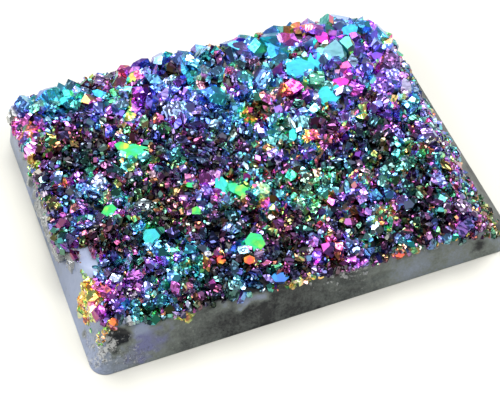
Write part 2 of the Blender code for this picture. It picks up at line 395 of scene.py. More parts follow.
def slabMaterial():
    made, tree, shader = newMaterial("grey chalcedony")
    where = addNode(tree, "TexCoord", {})["Object"]
    names = ("wall_tone_and_painted_light", "overspray_and_painted_sheen", "chalky", "crusted")
    wall_tone_and_painted_light, overspray_and_painted_sheen, chalky, crusted = (addAttribute(tree, name) for name in names)
    clouds = addSwing(tree, addNoise(tree, where, *chalcedony["clouds"]))
    clouds = addMath(tree, "MULTIPLY", clouds, chalcedony["cloudTone"])
    grains = addNoise(tree, where, *chalcedony["grains"])
    grain = addMath(tree, "MULTIPLY", addSwing(tree, grains), chalcedony["grainTone"])
    # the walls' painted light and shade, partly their own tone, with clouds and grain, picks the colour
    level = addMath(tree, "ADD", wall_tone_and_painted_light, addMath(tree, "ADD", clouds, grain))
    # painted sheen: violet mixed in, partly the coating's own violet
    oversprayAndSheenMask = addRamp(tree, addMath(tree, "ADD", overspray_and_painted_sheen, clouds), chalcedony["oversprayAndSheenMask"])
    base = addMix(tree, oversprayAndSheenMask, addRamp(tree, level, chalcedony["tones"]), chalcedony["oversprayAndSheenViolet"])
    specks = addRamp(tree, addMath(tree, "ADD", grains, chalky), chalcedony["specks"])
    speckled = addMath(tree, "MULTIPLY", specks, chalcedony["speckShare"])
    base = addMix(tree, speckled, base, chalcedony["chalk"])

    # fine dark creases where the wall is chalky
    veins = addSwing(tree, addNoise(tree, where, *chalcedony["veins"]))
    veins = addRamp(tree, addMath(tree, "ABSOLUTE", veins), chalcedony["veinWidth"])
    creases = addMath(tree, "MULTIPLY", veins, addMath(tree, "MULTIPLY", chalky, chalcedony["veinShare"]))
    base = addMix(tree, creases, base, chalcedony["crease"])
    height = addMath(tree, "SUBTRACT", addMath(tree, "ADD", grains, specks), creases)
    bump = {"Strength": chalcedony["bumpStrength"], "Distance": chalcedony["bumpDepth"], "Height": height}
    # painted shade: the slab is near black where the crust covers it
    feed(tree, shader, {
        "Base Color": addMix(tree, crusted, base, chalcedony["paintedGapShade"]),
        "Roughness": addRamp(tree, grains, chalcedony["roughness"]),
        "Specular IOR Level": chalcedony["gloss"],
        "Normal": addNode(tree, "Bump", bump)["Normal"],
    })
    return made


quartz = {"Base Color": (0.60, 0.62, 0.62), "Roughness": 0.06, "Transmission Weight": 0.40, "IOR": 1.54}
paper = {"Base Color": (0.76, 0.745, 0.68), "Roughness": 0.9, "Specular IOR Level": 0.0}


def plainMaterial(name, values):
    made, tree, shader = newMaterial(name)
    feed(tree, shader, values)
    return made


def newObject(mesh, name, material):
    made = bpy.data.objects.new(name, mesh)
    bpy.context.scene.collection.objects.link(made)
    mesh.materials.append(material)
    return made


slab = {
    "cell": 0.13 * mm,
    "wallRows": 22,
    "bedDrop": 0.06 * mm,
    # how the bare strip at the left wall falls off outwards, and how much lighter it is
    "stripFall": 0.45,
    "stripTone": 0.2,
    # how deep the wall's unevenness is, and how wide, from the broadest to the finest
    "unevenness": lengths((0.045, 1.6), (0.020, 0.45), (0.010, 0.18)),
    # nothing is sunk in at the foot of the walls
    "foot": 0.12 * mm,
    "pits": 260,
    "pitRadius": (0.05 * mm, 0.17 * mm),
    "pitBias": 0.5,
    "pitHeight": (0.25, 2.2),             # in millimetres
    "pitDepth": 0.45,
    "pitsFrontAndBack": 0.57,
    # a hollow's edge and the width of its slope, in radii, and its depth
    "hollowEdge": 1.25,
    "hollowSlope": 0.8,
    "hollowDepth": 0.6,
    # strength and size of the roughness in the craggy places
    "cragGrain": ((1.0, 0.7 * mm), (0.6, 0.3 * mm)),
    "cragSharpness": 2.0,
    "cragEnd": 2.0,
    # how ragged the patches on the walls are
    "ragged": 0.7,
    "raggedSize": 0.4 * mm,
    # u or v from which a point of the slab's outline counts as on a wall
    "wallStart": 0.999,
}


def spots(*rows):
    # rows of x, y, z, reach and strength, all but the strength in millimetres
    return [(Vector((x * mm, y * mm, z * mm)), reach * mm, strength) for x, y, z, reach, strength in rows]


# craggy places on the walls: the strength is how deep, in millimetres
crags = spots(
    (-12.2, 2.0, 2.2, 2.6, 0.34),
    (-12.0, -2.6, 2.5, 1.0, 0.3),
    (-12.0, -6.0, 2.3, 1.2, 0.16),
    (-12.0, -8.7, 2.2, 0.9, 0.2),
    (2.4, -9.1, 1.6, 1.3, 0.14),
    (7.6, -9.2, 1.3, 1.6, 0.08),
    (12.3, 4.0, 2.2, 3.0, 0.12),
    (-3.0, 9.3, 2.2, 3.0, 0.12),
)


def wallPits():
    # small pits, at random over the four walls
    pits = []
    while len(pits) < slab["pits"]:
        u, v = random.uniform(-1, 1), random.uniform(-1, 1)
        if random.random() < slab["pitsFrontAndBack"]:
            v = math.copysign(1.0, v)
        else:
            u = math.copysign(1.0, u)
        radius = random.uniform(*slab["pitRadius"]) * random.random() ** slab["pitBias"]
        pits.append((wallPoint(u, v, random.uniform(*slab["pitHeight"]) * mm), radius))
    return pits


def sunkIn(point, pits):
    # how far a wall point lies in from the wall's plane: unevenness, pits, hollows and crags
    depth = 0.0
    for deep, wide in slab["unevenness"]:
        depth += deep * (0.5 + noise.noise(point / wide))
    for at, radius in pits:
        away = (point - at).length / radius
        if away < 1.0:
            depth += slab["pitDepth"] * radius * (1.0 - away * away)
    for centre, radii in stone["hollows"]:
        away = math.sqrt(sum(((a - b) / r) ** 2 for a, b, r in zip(point, centre, radii)))
        if away < slab["hollowEdge"]:
            slope = smoothstep((slab["hollowEdge"] - away) / slab["hollowSlope"])
            depth += slab["hollowDepth"] * min(radii) * slope
    for centre, reach, deep in crags:
        away = (point - centre).length / reach
        if away < slab["cragEnd"]:
            rough = sum(share * abs(noise.noise(point / size)) for share, size in slab["cragGrain"])
            depth += deep * mm * math.exp(-away * away) * min(1.0, slab["cragSharpness"] * rough)
    return depth


# how light each wall is from its first to its last end, painted light and shade with some of the
# stone's own tone: place along it in millimetres, tone
wallPaintedLightAndTone = {
    "left": ((-9.8, 1.00), (-3.0, 1.05), (0.5, 0.90), (9.8, 0.90)),
    "front": (
        (-13.0, 0.95), (-10.6, 0.70), (-8.0, 0.36), (-5.0, 0.13), (1.0, 0.11), (5.0, 0.50), (13.0, 0.62),
    ),
    "right": ((-9.8, 0.15), (9.8, 0.08)),
    "back": ((-13.0, 0.34), (13.0, 0.34)),
}

# violet sheen painted into the colour, partly the coating's own violet; chalk; and lighter or darker
# places on the walls, mostly painted light and shade
oversprayAndPaintedSheens = spots(
    (-9.7, -9.3, 1.3, 0.65, 0.8),
    (-8.8, -9.4, 1.2, 0.75, 0.5),
    (-10.3, -9.4, 0.6, 0.6, 0.45),
    (-10.6, -9.6, 0.5, 0.9, 0.35),
    (-12.6, -7.6, 0.8, 1.0, 0.3),
)
chalks = spots(
    (-12.3, -8.9, 1.6, 0.7, 0.22),
    (-12.6, -9.0, 0.7, 0.7, 0.2),
    (-12.5, -7.6, 0.9, 1.0, 0.14),
    (-11.6, -9.4, 1.2, 0.6, 0.12),
    (-10.8, -9.7, 0.2, 1.4, 0.1),
    (-10.2, -9.5, 0.7, 0.9, 0.1),
    (-12.4, 1.0, 1.6, 1.6, 0.08),
    (2.6, -9.1, 1.5, 1.1, 0.12),
    (-7.6, -9.4, 1.0, 1.2, 0.06),
)
# painted light and shade, with some of the stone's own tone: a painted highlight along the front wall's top
# edge, painted sheen on the front and left walls, painted shade in the hollows and a notch
paintedLightAndToneSpots = spots(
    (-9.9, -9.0, 1.9, 0.45, 1.0),
    (-11.4, -8.8, 2.1, 0.55, -1.0),
    (-10.9, -9.0, 1.8, 0.5, -0.9),
    (-12.75, -7.1, 0.6, 0.22, -0.8),
    (-11.5, -9.3, 1.15, 0.22, -0.7),
    (-11.1, -9.4, 1.0, 0.16, -0.6),
    (-12.0, -4.1, 2.5, 0.9, 0.25),
    (-12.3, -1.0, 2.2, 0.8, -0.5),
    (-12.2, 2.4, 2.6, 1.6, -0.35),
    (10.4, -9.4, 0.9, 0.35, -0.6),
    (-5.0, -9.1, 1.95, 0.45, 0.6),
    (-4.2, -9.1, 1.9, 0.4, 0.7),
    (-3.4, -9.1, 1.9, 0.4, 0.8),
    (-2.6, -9.1, 1.85, 0.35, 0.6),
    (6.5, -9.2, 1.4, 1.6, 0.15),
)


def wallPaintedLightAndToneAt(point, onSide, onEnd):
    # the wall's lightness at a point, painted light and shade and partly its own tone, read off its list of
    # tones
    if onSide:
        stops, place = wallPaintedLightAndTone["left" if point.x < 0 else "right"], point.y / mm
    else:
        stops, place = wallPaintedLightAndTone["front" if onEnd and point.y < 0 else "back"], point.x / mm
    return float(np.interp(place, *zip(*stops)))


def amountAt(point, places):
    amount = 0.0
    ragged = 1.0 + slab["ragged"] * noise.noise(point / slab["raggedSize"])
    for centre, reach, strength in places:
        away = (point - centre).length / reach * ragged
        if away < fadedAway:
            amount += strength * math.exp(-away * away)
    return amount


def makeSlab(material):
    shape = bmesh.new()
    columns = round(stone["length"] / slab["cell"])
    rows = round(stone["width"] / slab["cell"])
    bmesh.ops.create_grid(shape, x_segments=columns, y_segments=rows, size=1.0)
    names = ("across", "deep", "top", "crusted", "wall_tone_and_painted_light", "overspray_and_painted_sheen", "chalky")
    across, deep, top, crusted, wall_tone_and_painted_light, overspray_and_painted_sheen, chalky = (shape.verts.layers.float.new(name) for name in names)
    rim = [edge for edge in shape.edges if edge.is_boundary]
    for point in shape.verts:
        point[across], point[deep] = point.co.x, point.co.y
        start = wallPoint(point.co.x, point.co.y, stone["rimHeight"])
        point[top] = crustHeight(start.x, start.y) - slab["bedDrop"]
        free = bareMargin(start.x, start.y) - insideWalls(start.x, start.y)
        if free > 0.0:
            point[top] -= slab["stripFall"] * free
            point[wall_tone_and_painted_light] = wallPaintedLightAndToneAt(start, True, False) + slab["stripTone"]
        point[crusted] = 0.0 if point.is_boundary or free > 0.0 else 1.0
        point.co = wallPoint(point[across], point[deep], point[top])
    pits = wallPits()
    walls = {end for edge in rim for end in edge.verts}
    for row in range(1, slab["wallRows"] + 1):
        made = bmesh.ops.extrude_edge_only(shape, edges=rim)["geom"]
        rim = [item for item in made if isinstance(item, bmesh.types.BMEdge) and item.is_boundary]
        for point in {end for edge in rim for end in edge.verts}:
            point.co = wallPoint(point[across], point[deep], point[top] * (1.0 - row / slab["wallRows"]))
            point[crusted] = 0.0
            walls.add(point)
    for point in walls:
        onSide, onEnd = abs(point[across]) > slab["wallStart"], abs(point[deep]) > slab["wallStart"]
        # painted light and shade: each wall's lightness and the lighter and darker spots
        point[wall_tone_and_painted_light] = wallPaintedLightAndToneAt(point.co, onSide, onEnd) + amountAt(point.co, paintedLightAndToneSpots)
        # painted sheen, partly the coating's own violet
        point[overspray_and_painted_sheen] = amountAt(point.co, oversprayAndPaintedSheens)
        point[chalky] = amountAt(point.co, chalks)
        inward = Vector((-point.co.x * onSide, -point.co.y * onEnd, 0.0)).normalized()
        point.co += inward * sunkIn(point.co, pits) * smoothstep(point.co.z / slab["foot"])
    bmesh.ops.holes_fill(shape, edges=rim, sides=0)
    bmesh.ops.bevel(
        shape, geom=rim, offset=stone["undersideBevel"] / 2, segments=2, profile=0.5, affect="EDGES",
        material=-1,
    )
    bmesh.ops.recalc_face_normals(shape, faces=shape.faces)
    mesh = bpy.data.meshes.new("chalcedony_slab")
    shape.to_mesh(mesh)
    print("slab triangles:", sum(len(face.verts) - 2 for face in shape.faces))
    shape.free()
    mesh.shade_smooth()
    return newObject(mesh, "chalcedony_slab", material)


druse = {
    "templates": 48,
    "faceSlope": math.radians(51.8),      # quartz's end faces against its base
    # one crystal, in radii: length, how far out its nearer and its farther end faces lie, its two kinds
    # of width, its thickness, where it is cut off
    "prism": 4.0,
    "endFaces": ((0.40, 0.80), (0.65, 1.15)),
    "widths": ((0.4, 0.7), (0.8, 1.4)),
    "thickness": (0.75, 1.1),
    "sunk": 1.0,
    # how many, smallest and largest radius, nearest spacing in radii, most lean
    "sizes": (
        (70, 0.48 * mm, 0.66 * mm, 0.95, math.radians(50)),
        (560, 0.33 * mm, 0.48 * mm, 0.66, math.radians(60)),
        (2000, 0.22 * mm, 0.36 * mm, 0.62, math.radians(65)),
        (5600, 0.11 * mm, 0.22 * mm, 0.58, math.radians(75)),
    ),
    "fine": 0.24 * mm,                    # radius up to which a crystal goes with the fine ones
    "tries": 14,
    "searchCell": 0.6 * mm,
    "wallRoom": 0.1,
    "standoutRoom": 0.7,
    "stand": (-0.25, 0.45),
    "tiltBias": 0.7,
    # the crystals grow coarser towards the back: how much, which way, and how far it takes
    "coarser": 0.7,
    "coarserWay": (0.35, 0.94),
    "coarserReach": 9.0 * mm,
    # crystals of one patch lean the same way
    "patchSize": 1.6 * mm,
    "patchLean": math.radians(35),
    # crystals on the walls: lowest, nearest to a wall's end, bias to small ones, sunk in radii, lean
    "wallLowest": 0.3 * mm,
    "wallEnd": 0.49,
    "wallBias": 2,
    "wallSunk": 0.5,
    "wallLean": math.radians(70),
    # heaped ones: most distance from the slab in radii, lean
    "heapGap": 1.1,
    "heapLean": math.radians(80),
    # how the broad faces tilt
    "facingX": (-0.06, 0.06),
    "facingY": (-0.37, -0.28),
    "facingSpread": 0.01,
    # how far crystals may reach out past the walls, and further round the first heap
    "overhang": 0.20 * mm,
    "heapOverhang": 0.6 * mm,
    "heapReach": 1.2 * mm,
    "floorGap": 0.05 * mm,
    "wallGap": 0.02 * mm,
    "highest": 4.22 * mm,
}

# how the crystals look; a pair is how much a noise changes it and the noise's size in millimetres
looks = {
    # painted light and shade: how light a crystal is, partly the crust's own tone and partly lit and shaded
    # patches painted in; the coarse term paints it lighter towards the back
    "bright": 0.44,
    "brightFine": (0.80, 0.62),
    "brightBroad": (0.40, 1.5),
    "paintedBackLight": 0.45,
    "film": 0.43,
    "filmBroad": (0.30, 3.4),
    "filmFine": (0.85, 0.5),
    "filmBright": 0.50,
    # how strongly a place's painted brightness and its own film count
    "patchBright": 1.4,
    "patchFilm": 1.3,
    "patchEnd": 2.0,
    # how much crystals differ, and their faces in film, painted brightness and frost
    "filmSpread": 0.07,
    "brightSpread": 0.16,
    "faces": (0.03, 0.18, 0.3),
    # how the film changes with the way a face looks, across and along the stone
    "swing": (0.16, 0.10),
    # frost where the crystals are coarsest, what the finest add, how much more large ones have, and
    # the radius and span in millimetres over which that comes
    "frost": (0.5, 0.6),
    "frostBias": 2.0,
    "frostLarge": (0.5, 0.2, 0.8),
    "frostRadius": (0.15, 0.4),
    "frostOnWalls": 0.4,
    # depth of colour: usual, what large crystals add, their radius and span, the spread
    "depth": 0.08,
    "depthLarge": 0.3,
    "depthRadius": (0.3, 0.3),
    "depthSpread": 0.45,
    # frost and depth of the broad faces
    "facing": (0.12, 1.0),
    # how far apart two crystals' grain is read
    "grainApart": 20.0,
}

# all lengths in the tables that follow are in millimetres

# crystals that spread down a wall: the wall, how far along it, how high, reach along and up, how many,
# smallest and largest radius, film, how much the film varies, painted brightness
wallPatches = (
    ("left", 6.6, 3.2, 1.2, 0.3, 70, 0.1, 0.34, 0.3, 0.4, 0.2),
    ("left", 3.6, 2.9, 0.6, 0.45, 190, 0.14, 0.42, 0.975, 0.02, 0.62),
    ("left", 2.0, 3.2, 0.7, 0.4, 60, 0.12, 0.4, 0.6, 0.2, 0.15),
    ("left", 1.0, 3.2, 0.7, 0.35, 60, 0.08, 0.32, 0.14, 0.08, 0.6),
    ("left", 0.5, 2.7, 0.9, 0.45, 90, 0.08, 0.28, 0.42, 0.25, 0.5),
    ("left", 1.2, 1.9, 1.5, 0.6, 330, 0.1, 0.38, 0.1, 0.4, 0.3),
    ("left", -0.3, 2.3, 0.35, 0.3, 30, 0.08, 0.22, 0.11, 0.05, 0.75),
    ("left", -1.3, 2.5, 0.7, 0.5, 150, 0.1, 0.36, 0.2, 0.3, 0.2),
    ("left", -5.5, 2.6, 0.25, 0.4, 90, 0.1, 0.3, 0.02, 0.05, 0.6),
    ("left", -5.9, 1.9, 0.32, 0.42, 150, 0.26, 0.56, 0.985, 0.02, 0.95),
    ("left", -6.5, 2.2, 0.16, 0.18, 26, 0.2, 0.4, 0.18, 0.08, 0.8),
    ("left", -6.9, 1.8, 0.2, 0.2, 40, 0.1, 0.28, 0.975, 0.02, 0.85),
    ("left", -6.6, 2.8, 1.1, 0.12, 160, 0.06, 0.16, 0.98, 0.03, 0.85),
    ("left", -8.4, 2.1, 0.16, 0.4, 60, 0.06, 0.2, 0.97, 0.02, 0.85),
    ("front", -11.4, 2.8, 0.2, 0.16, 20, 0.1, 0.26, 0.05, 0.03, 0.65),
    ("front", -7.5, 2.0, 0.28, 0.1, 24, 0.12, 0.34, 0.965, 0.01, 0.95),
    ("front", -0.4, 2.05, 0.65, 0.13, 90, 0.08, 0.24, 0.98, 0.03, 0.9),
    ("front", 5.7, 2.2, 0.18, 0.14, 18, 0.1, 0.32, 0.02, 0.02, 0.65),
    ("front", 9.0, 1.9, 1.3, 0.14, 50, 0.06, 0.22, 0.04, 0.1, 0.6),
    ("right", -7.6, 1.5, 1.2, 0.5, 220, 0.08, 0.28, 0.98, 0.1, 0.22),
    ("right", -5.0, 2.3, 2.6, 0.45, 260, 0.08, 0.32, 0.02, 0.2, 0.15),
    ("right", 4.0, 2.6, 3.0, 0.5, 300, 0.08, 0.34, 0.35, 0.3, 0.2),
    ("back", 0.0, 2.8, 6.5, 0.4, 300, 0.07, 0.32, 0.5, 0.35, 0.35),
)

# bare quartz crystals without a coating: the same, as far as the radii
barePatches = (
    ("left", -2.5, 2.2, 0.45, 0.4, 80, 0.14, 0.36),
    ("left", -1.0, 1.5, 0.6, 0.35, 110, 0.14, 0.42),
    ("left", 1.1, 1.25, 0.9, 0.35, 170, 0.14, 0.42),
    ("left", 4.8, 2.3, 1.5, 0.5, 140, 0.1, 0.36),
    ("left", -8.6, 1.7, 0.2, 0.5, 40, 0.05, 0.16),
    ("front", 2.4, 1.65, 0.9, 0.25, 80, 0.06, 0.22),
    ("front", 7.5, 1.7, 1.5, 0.2, 50, 0.06, 0.2),
    ("right", 0.0, 2.1, 5.0, 0.4, 160, 0.08, 0.28),
    ("back", 0.0, 2.2, 6.0, 0.4, 160, 0.08, 0.28),
)

# crystals heaped out from a wall: centre, reach, which way, how many, smallest and largest radius, film,
# how much the film varies, painted brightness
heaps = (
    ((-12.45, -1.2, 2.6), (0.22, 0.62, 0.28), (-1, -0.1, 0.6), 110, 0.14, 0.42, 0.1, 0.4, 0.25),
    ((-12.5, 1.4, 2.4), (0.15, 0.9, 0.35), (-1, -0.1, 0.6), 90, 0.12, 0.36, 0.2, 0.4, 0.3),
)

# the same of bare quartz
bareHeaps = (
    ((-12.7, 0.9, 1.3), (0.1, 0.9, 0.32), (-1, -0.1, 0.5), 150, 0.14, 0.4),
    ((-12.6, -1.5, 1.5), (0.12, 0.45, 0.3), (-1, -0.3, 0.6), 80, 0.14, 0.4),
)

# single broad faces that stand out of the crust: x, y, height over it, radius, film, painted brightness
standouts = (
    (-7.1, 2.9, 0.25, 0.6, 0.925, 1.0),
    (-6.5, 2.2, 0.2, 0.62, 0.915, 1.0),
    (-6.6, 2.6, 0.1, 0.5, 0.84, 1.0),
    (-2.6, -1.7, 0.15, 0.55, 0.8, 1.0),
    (-1.9, -2.3, 0.25, 0.62, 0.86, 1.0),
    (-1.7, -2.5, 0.32, 0.4, 0.92, 1.0),
    (-9.2, -1.0, 0.15, 0.4, 0.9, 0.9),
    (-4.3, -1.1, 0.15, 0.36, 0.925, 0.9),
    (-4.6, -3.0, 0.15, 0.34, 0.94, 0.9),
    (-2.3, -6.3, 0.25, 0.6, 0.86, 0.9),
    (-7.6, -3.9, 0.2, 0.5, 0.76, 0.9),
    (-4.4, -6.6, 0.2, 0.3, 0.01, 0.9),
    (-3.0, -7.3, 0.2, 0.3, 0.03, 0.8),
    (-1.7, -8.7, 0.3, 0.6, 0.56, 1.0),
    (-7.5, -9.1, 0.05, 0.36, 0.965, 1.0),
    (-11.3, -8.6, 0.0, 0.26, 0.05, 0.7),
    (5.4, -9.1, 0.1, 0.42, 0.02, 0.7),
    (4.9, 4.9, 0.25, 0.75, 0.7, 1.0),
    (6.0, 5.1, 0.2, 0.65, 0.72, 1.0),
    (5.8, 2.5, 0.25, 0.8, 0.72, 1.0),
    (6.8, 3.1, 0.2, 0.6, 0.16, 1.0),
    (7.2, 7.0, 0.15, 0.5, 0.17, 1.0),
    (9.2, 7.2, 0.2, 0.8, 0.66, 1.0),
    (3.9, 7.2, 0.2, 0.6, 0.64, 1.0),
    (10.0, 4.4, 0.2, 0.6, 0.34, 0.9),
    (2.6, 0.3, 0.15, 0.5, 0.74, 1.0),
    (-7.1, 7.5, 0.15, 0.6, 0.66, 1.0),
    (-9.1, 8.0, 0.15, 0.6, 0.72, 1.0),
    (-12.1, 6.9, 0.0, 0.36, 0.14, 0.9),
)

# places where the coating is a colour of its own, and where light and shade are painted in as a
# brighter or darker crust: x, y, reach, film, painted brightness
colourAndPaintedLightPatches = (
    (-11.9, 9.0, 0.8, 0.64, 0.6),
    (-12.3, 6.9, 0.9, 0.14, 0.6),
    (-9.7, 8.4, 1.1, 0.68, 0.3),
    (-8.5, 8.0, 0.7, 0.76, 0.25),
    (-6.9, 8.4, 0.8, 0.28, 0.0),
    (-6.6, 6.9, 0.7, 0.74, 0.05),
    (-4.9, 8.9, 0.6, 0.14, 0.1),
    (-3.4, 8.9, 0.9, 0.4, 0.1),
    (-3.3, 6.7, 0.8, 0.5, 0.1),
    (-1.1, 7.1, 1.0, 0.68, 0.15),
    (2.2, 8.3, 0.8, 0.44, 0.1),
    (4.2, 7.3, 0.8, 0.62, 0.3),
    (5.1, 5.3, 1.1, 0.68, 0.35),
    (6.2, 7.5, 0.7, 0.19, 0.1),
    (7.7, 7.5, 1.1, 0.19, 0.7),
    (8.7, 9.1, 0.6, 0.7, 0.7),
    (9.6, 7.8, 1.0, 0.56, 0.4),
    (10.8, 6.9, 0.9, 0.6, 0.1),
    (7.4, 5.6, 0.6, 0.64, 0.1),
    (6.0, 2.7, 0.9, 0.68, 0.4),
    (7.2, 3.5, 0.7, 0.19, 0.3),
    (9.8, 4.5, 1.2, 0.33, 0.1),
    (10.6, 1.8, 0.8, 0.34, 0.15),
    (8.5, 1.7, 0.8, 0.2, -0.4),
    (6.8, -1.8, 1.5, None, -0.5),
    (7.9, -3.5, 1.1, 0.8, -0.05),
    (8.3, -0.7, 0.6, 0.18, 0.1),
    (5.2, 0.4, 0.8, 0.18, -0.2),
    (2.5, 0.9, 1.1, 0.74, 0.25),
    (2.8, -3.4, 1.3, 0.82, 0.1),
    (-0.2, 3.5, 1.6, 0.6, 0.2),
    (-2.4, 4.6, 1.2, 0.44, 0.15),
    (-4.5, 5.7, 1.1, 0.3, 0.05),
    (-6.6, 4.9, 0.7, 0.13, 0.2),
    (-3.8, 3.3, 0.8, None, -0.35),
    (1.1, 2.6, 0.8, 0.02, -0.3),
    (-6.6, 2.3, 1.0, 0.92, 0.35),
    (-10.1, 3.9, 1.8, None, -0.45),
    (-10.0, 0.8, 0.8, 0.56, 0.1),
    (-6.9, 0.2, 1.1, None, -0.4),
    (-3.0, -1.6, 0.8, 0.2, 0.1),
    (-1.8, -2.1, 1.0, 0.88, 0.35),
    (-0.4, -2.8, 0.8, 0.8, 0.2),
    (-2.2, 1.5, 1.5, None, -0.4),
    (-5.1, 2.2, 1.2, None, -0.4),
    (-9.8, -2.8, 1.1, None, -0.55),
    (-10.6, -2.5, 0.7, 0.12, 0.05),
    (-7.5, -3.4, 1.0, 0.67, 0.05),
    (-6.1, -2.6, 1.2, 0.0, -0.35),
    (-2.9, -3.9, 1.6, None, -0.4),
    (-0.5, -5.6, 1.2, 0.07, -0.35),
    (1.4, -4.3, 0.7, 0.8, 0.15),
    (3.8, -4.8, 0.8, 0.36, 0.15),
    (5.5, -6.9, 0.6, 0.0, 0.1),
    (7.4, -6.5, 1.2, None, -0.45),
    (8.6, -4.6, 0.8, None, -0.3),
    (11.0, -4.8, 0.5, 0.18, 0.3),
    (10.9, -6.7, 0.6, 0.78, 0.1),
    (9.9, -8.1, 0.7, 0.28, 0.1),
    (8.5, -8.6, 0.8, None, -0.4),
    (5.4, -9.3, 0.7, 0.06, 0.15),
    (2.9, -9.0, 0.7, 0.22, 0.25),
    (1.5, -8.1, 0.8, 0.09, 0.1),
    (-1.0, -8.2, 0.8, None, -0.5),
    (-4.1, -8.8, 0.8, 0.62, 0.1),
    (-5.7, -8.4, 0.9, None, -0.4),
    (-7.0, -6.4, 0.8, 0.68, 0.1),
    (-10.0, -6.6, 0.9, 0.27, 0.1),
    (-11.1, -5.9, 0.6, 0.15, 0.15),
    (-9.3, -8.3, 0.8, 0.78, -0.1),
    (-3.0, -7.3, 0.4, 0.0, 0.25),
    (-4.4, -6.3, 0.4, 0.0, 0.2),
    (-1.5, 1.5, 6.0, None, 0.08),
    (7.5, -2.5, 4.5, None, 0.07),
    (-3.0, -7.8, 4.0, None, -0.08),
)


def cutOff(shape, at, outward):
    # cuts a crystal with a plane and closes it again
    bmesh.ops.bisect_plane(
        shape, geom=shape.verts[:] + shape.edges[:] + shape.faces[:], plane_co=at, plane_no=outward,
        clear_outer=True,
    )
    bmesh.ops.holes_fill(shape, edges=[edge for edge in shape.edges if edge.is_boundary], sides=0)


def crystalTemplate():
    # one six-sided crystal of radius 1, its shoulder near z 0, its six end faces unequal as in nature
    shape = bmesh.new()
    bmesh.ops.create_cone(shape, cap_ends=True, segments=6, radius1=1.0, radius2=1.0, depth=druse["prism"])
    level, steep = math.sin(druse["faceSlope"]), math.cos(druse["faceSlope"])
    for side in range(6):
        about = math.radians(60 * side + 30)
        outward = Vector((math.cos(about) * level, math.sin(about) * level, steep))
        cutOff(shape, outward * random.uniform(*druse["endFaces"][side % 2]), outward)
    cutOff(shape, (0.0, 0.0, -druse["sunk"]), (0.0, 0.0, -1.0))
    wide = random.choice([random.uniform(*width) for width in druse["widths"]])
    bmesh.ops.scale(shape, vec=(wide, random.uniform(*druse["thickness"]), 1.0), verts=shape.verts)
    bmesh.ops.recalc_face_normals(shape, faces=shape.faces)
    shape.verts.index_update()
    points = np.array([corner.co[:] for corner in shape.verts])
    faces = [[corner.index for corner in face.verts] for face in shape.faces]
    shape.free()
    return points, faces


def coarseness(x, y):
    wayX, wayY = druse["coarserWay"]
    return 1.0 + druse["coarser"] * smoothstep((wayY * y + wayX * x) / druse["coarserReach"])


def patchLean(at, outward):
    # the way that the crystals round a point lean together
    place, apart = at / druse["patchSize"], Vector((9, 0, 0))
    sideways = Vector((noise.noise(place + apart), noise.noise(place - apart), 0.0))
    return (outward + sideways * 2.0 * math.tan(druse["patchLean"])).normalized()


def cellOf(x, y):
    return int(x // druse["searchCell"]), int(y // druse["searchCell"])


def crystalPlaces():
    # crystals by size, largest first, none too near another or over a standout
    taken = {}
    places = []
    for x, y, _, radius, *_ in standouts:
        x, y, radius = x * mm, y * mm, radius * mm
        at = Vector((x, y, crustHeight(x, y)))
        taken.setdefault(cellOf(x, y), []).append((at, radius * druse["standoutRoom"]))
    for count, smallest, largest, spacing, lean in druse["sizes"]:
        made = tries = 0
        while made < count and tries < count * druse["tries"]:
            tries += 1
            x = random.uniform(-stone["length"] / 2, stone["length"] / 2)
            y = random.uniform(-stone["width"] / 2, stone["width"] / 2)
            radius = random.uniform(smallest, largest) * coarseness(x, y)
            if insideWalls(x, y) < max(radius * druse["wallRoom"], bareMargin(x, y)):
                continue
            at = Vector((x, y, crustHeight(x, y)))
            column, row = cellOf(x, y)
            near = [
                other for i in range(-2, 3) for j in range(-2, 3)
                for other in taken.get((column + i, row + j), ())
            ]
            if any((at - other).length < spacing * (radius + size) for other, size in near):
                continue
            taken.setdefault((column, row), []).append((at, radius))
            places.append((at, patchLean(at, crustNormal(x, y)), radius, lean, (), None))
            made += 1
        print("crystals of", round(smallest / mm, 2), "mm and more:", made)
    return places


def onWall(wall, along, up):
    # a point on a wall and the way out of it
    side = -1.0 if wall in ("left", "front") else 1.0
    if wall in ("left", "right"):
        lean = leanAt(wall, along / stone["width"] + 0.5)
        at = Vector((side * (stone["length"] / 2 - lean * up), along, up))
        return at, Vector((side, 0.0, lean)).normalized()
    lean = leanAt(wall, along / stone["length"] + 0.5)
    at = Vector((along, side * (stone["width"] / 2 - lean * up), up))
    return at, Vector((0.0, side, lean)).normalized()


def wallPlaces(patches, ground):
    # crystals on the walls, each set on the slab's own surface
    places = []
    for wall, along, up, reachAlong, reachUp, count, smallest, largest, *coating in patches:
        smallest, largest = smallest * mm, largest * mm
        for _ in range(count):
            height = max(druse["wallLowest"], random.gauss(up * mm, reachUp * mm))
            at, outward = onWall(wall, random.gauss(along * mm, reachAlong * mm), height)
            if max(abs(at.x) / stone["length"], abs(at.y) / stone["width"]) > druse["wallEnd"]:
                continue
            radius = smallest + (largest - smallest) * random.random() ** druse["wallBias"]
            at.z = min(at.z, crustHeight(at.x, at.y))
            foot, away, *_ = ground.find_nearest(at)
            at = foot - away * radius * druse["wallSunk"]
            places.append((at, outward, radius, druse["wallLean"], coating, None))
    return places


def heapPlaces(piles, ground):
    # crystals heaped on a wall, each near enough to touch it
    places = []
    for centre, reach, way, count, smallest, largest, *coating in piles:
        for _ in range(count):
            at = Vector([random.gauss(middle * mm, wide * mm) for middle, wide in zip(centre, reach)])
            radius = random.uniform(smallest * mm, largest * mm)
            foot = ground.find_nearest(at)[0]
            at = foot + (at - foot) * min(1.0, druse["heapGap"] * radius / (at - foot).length)
            places.append((at, Vector(way).normalized(), radius, druse["heapLean"], coating, None))
    return places


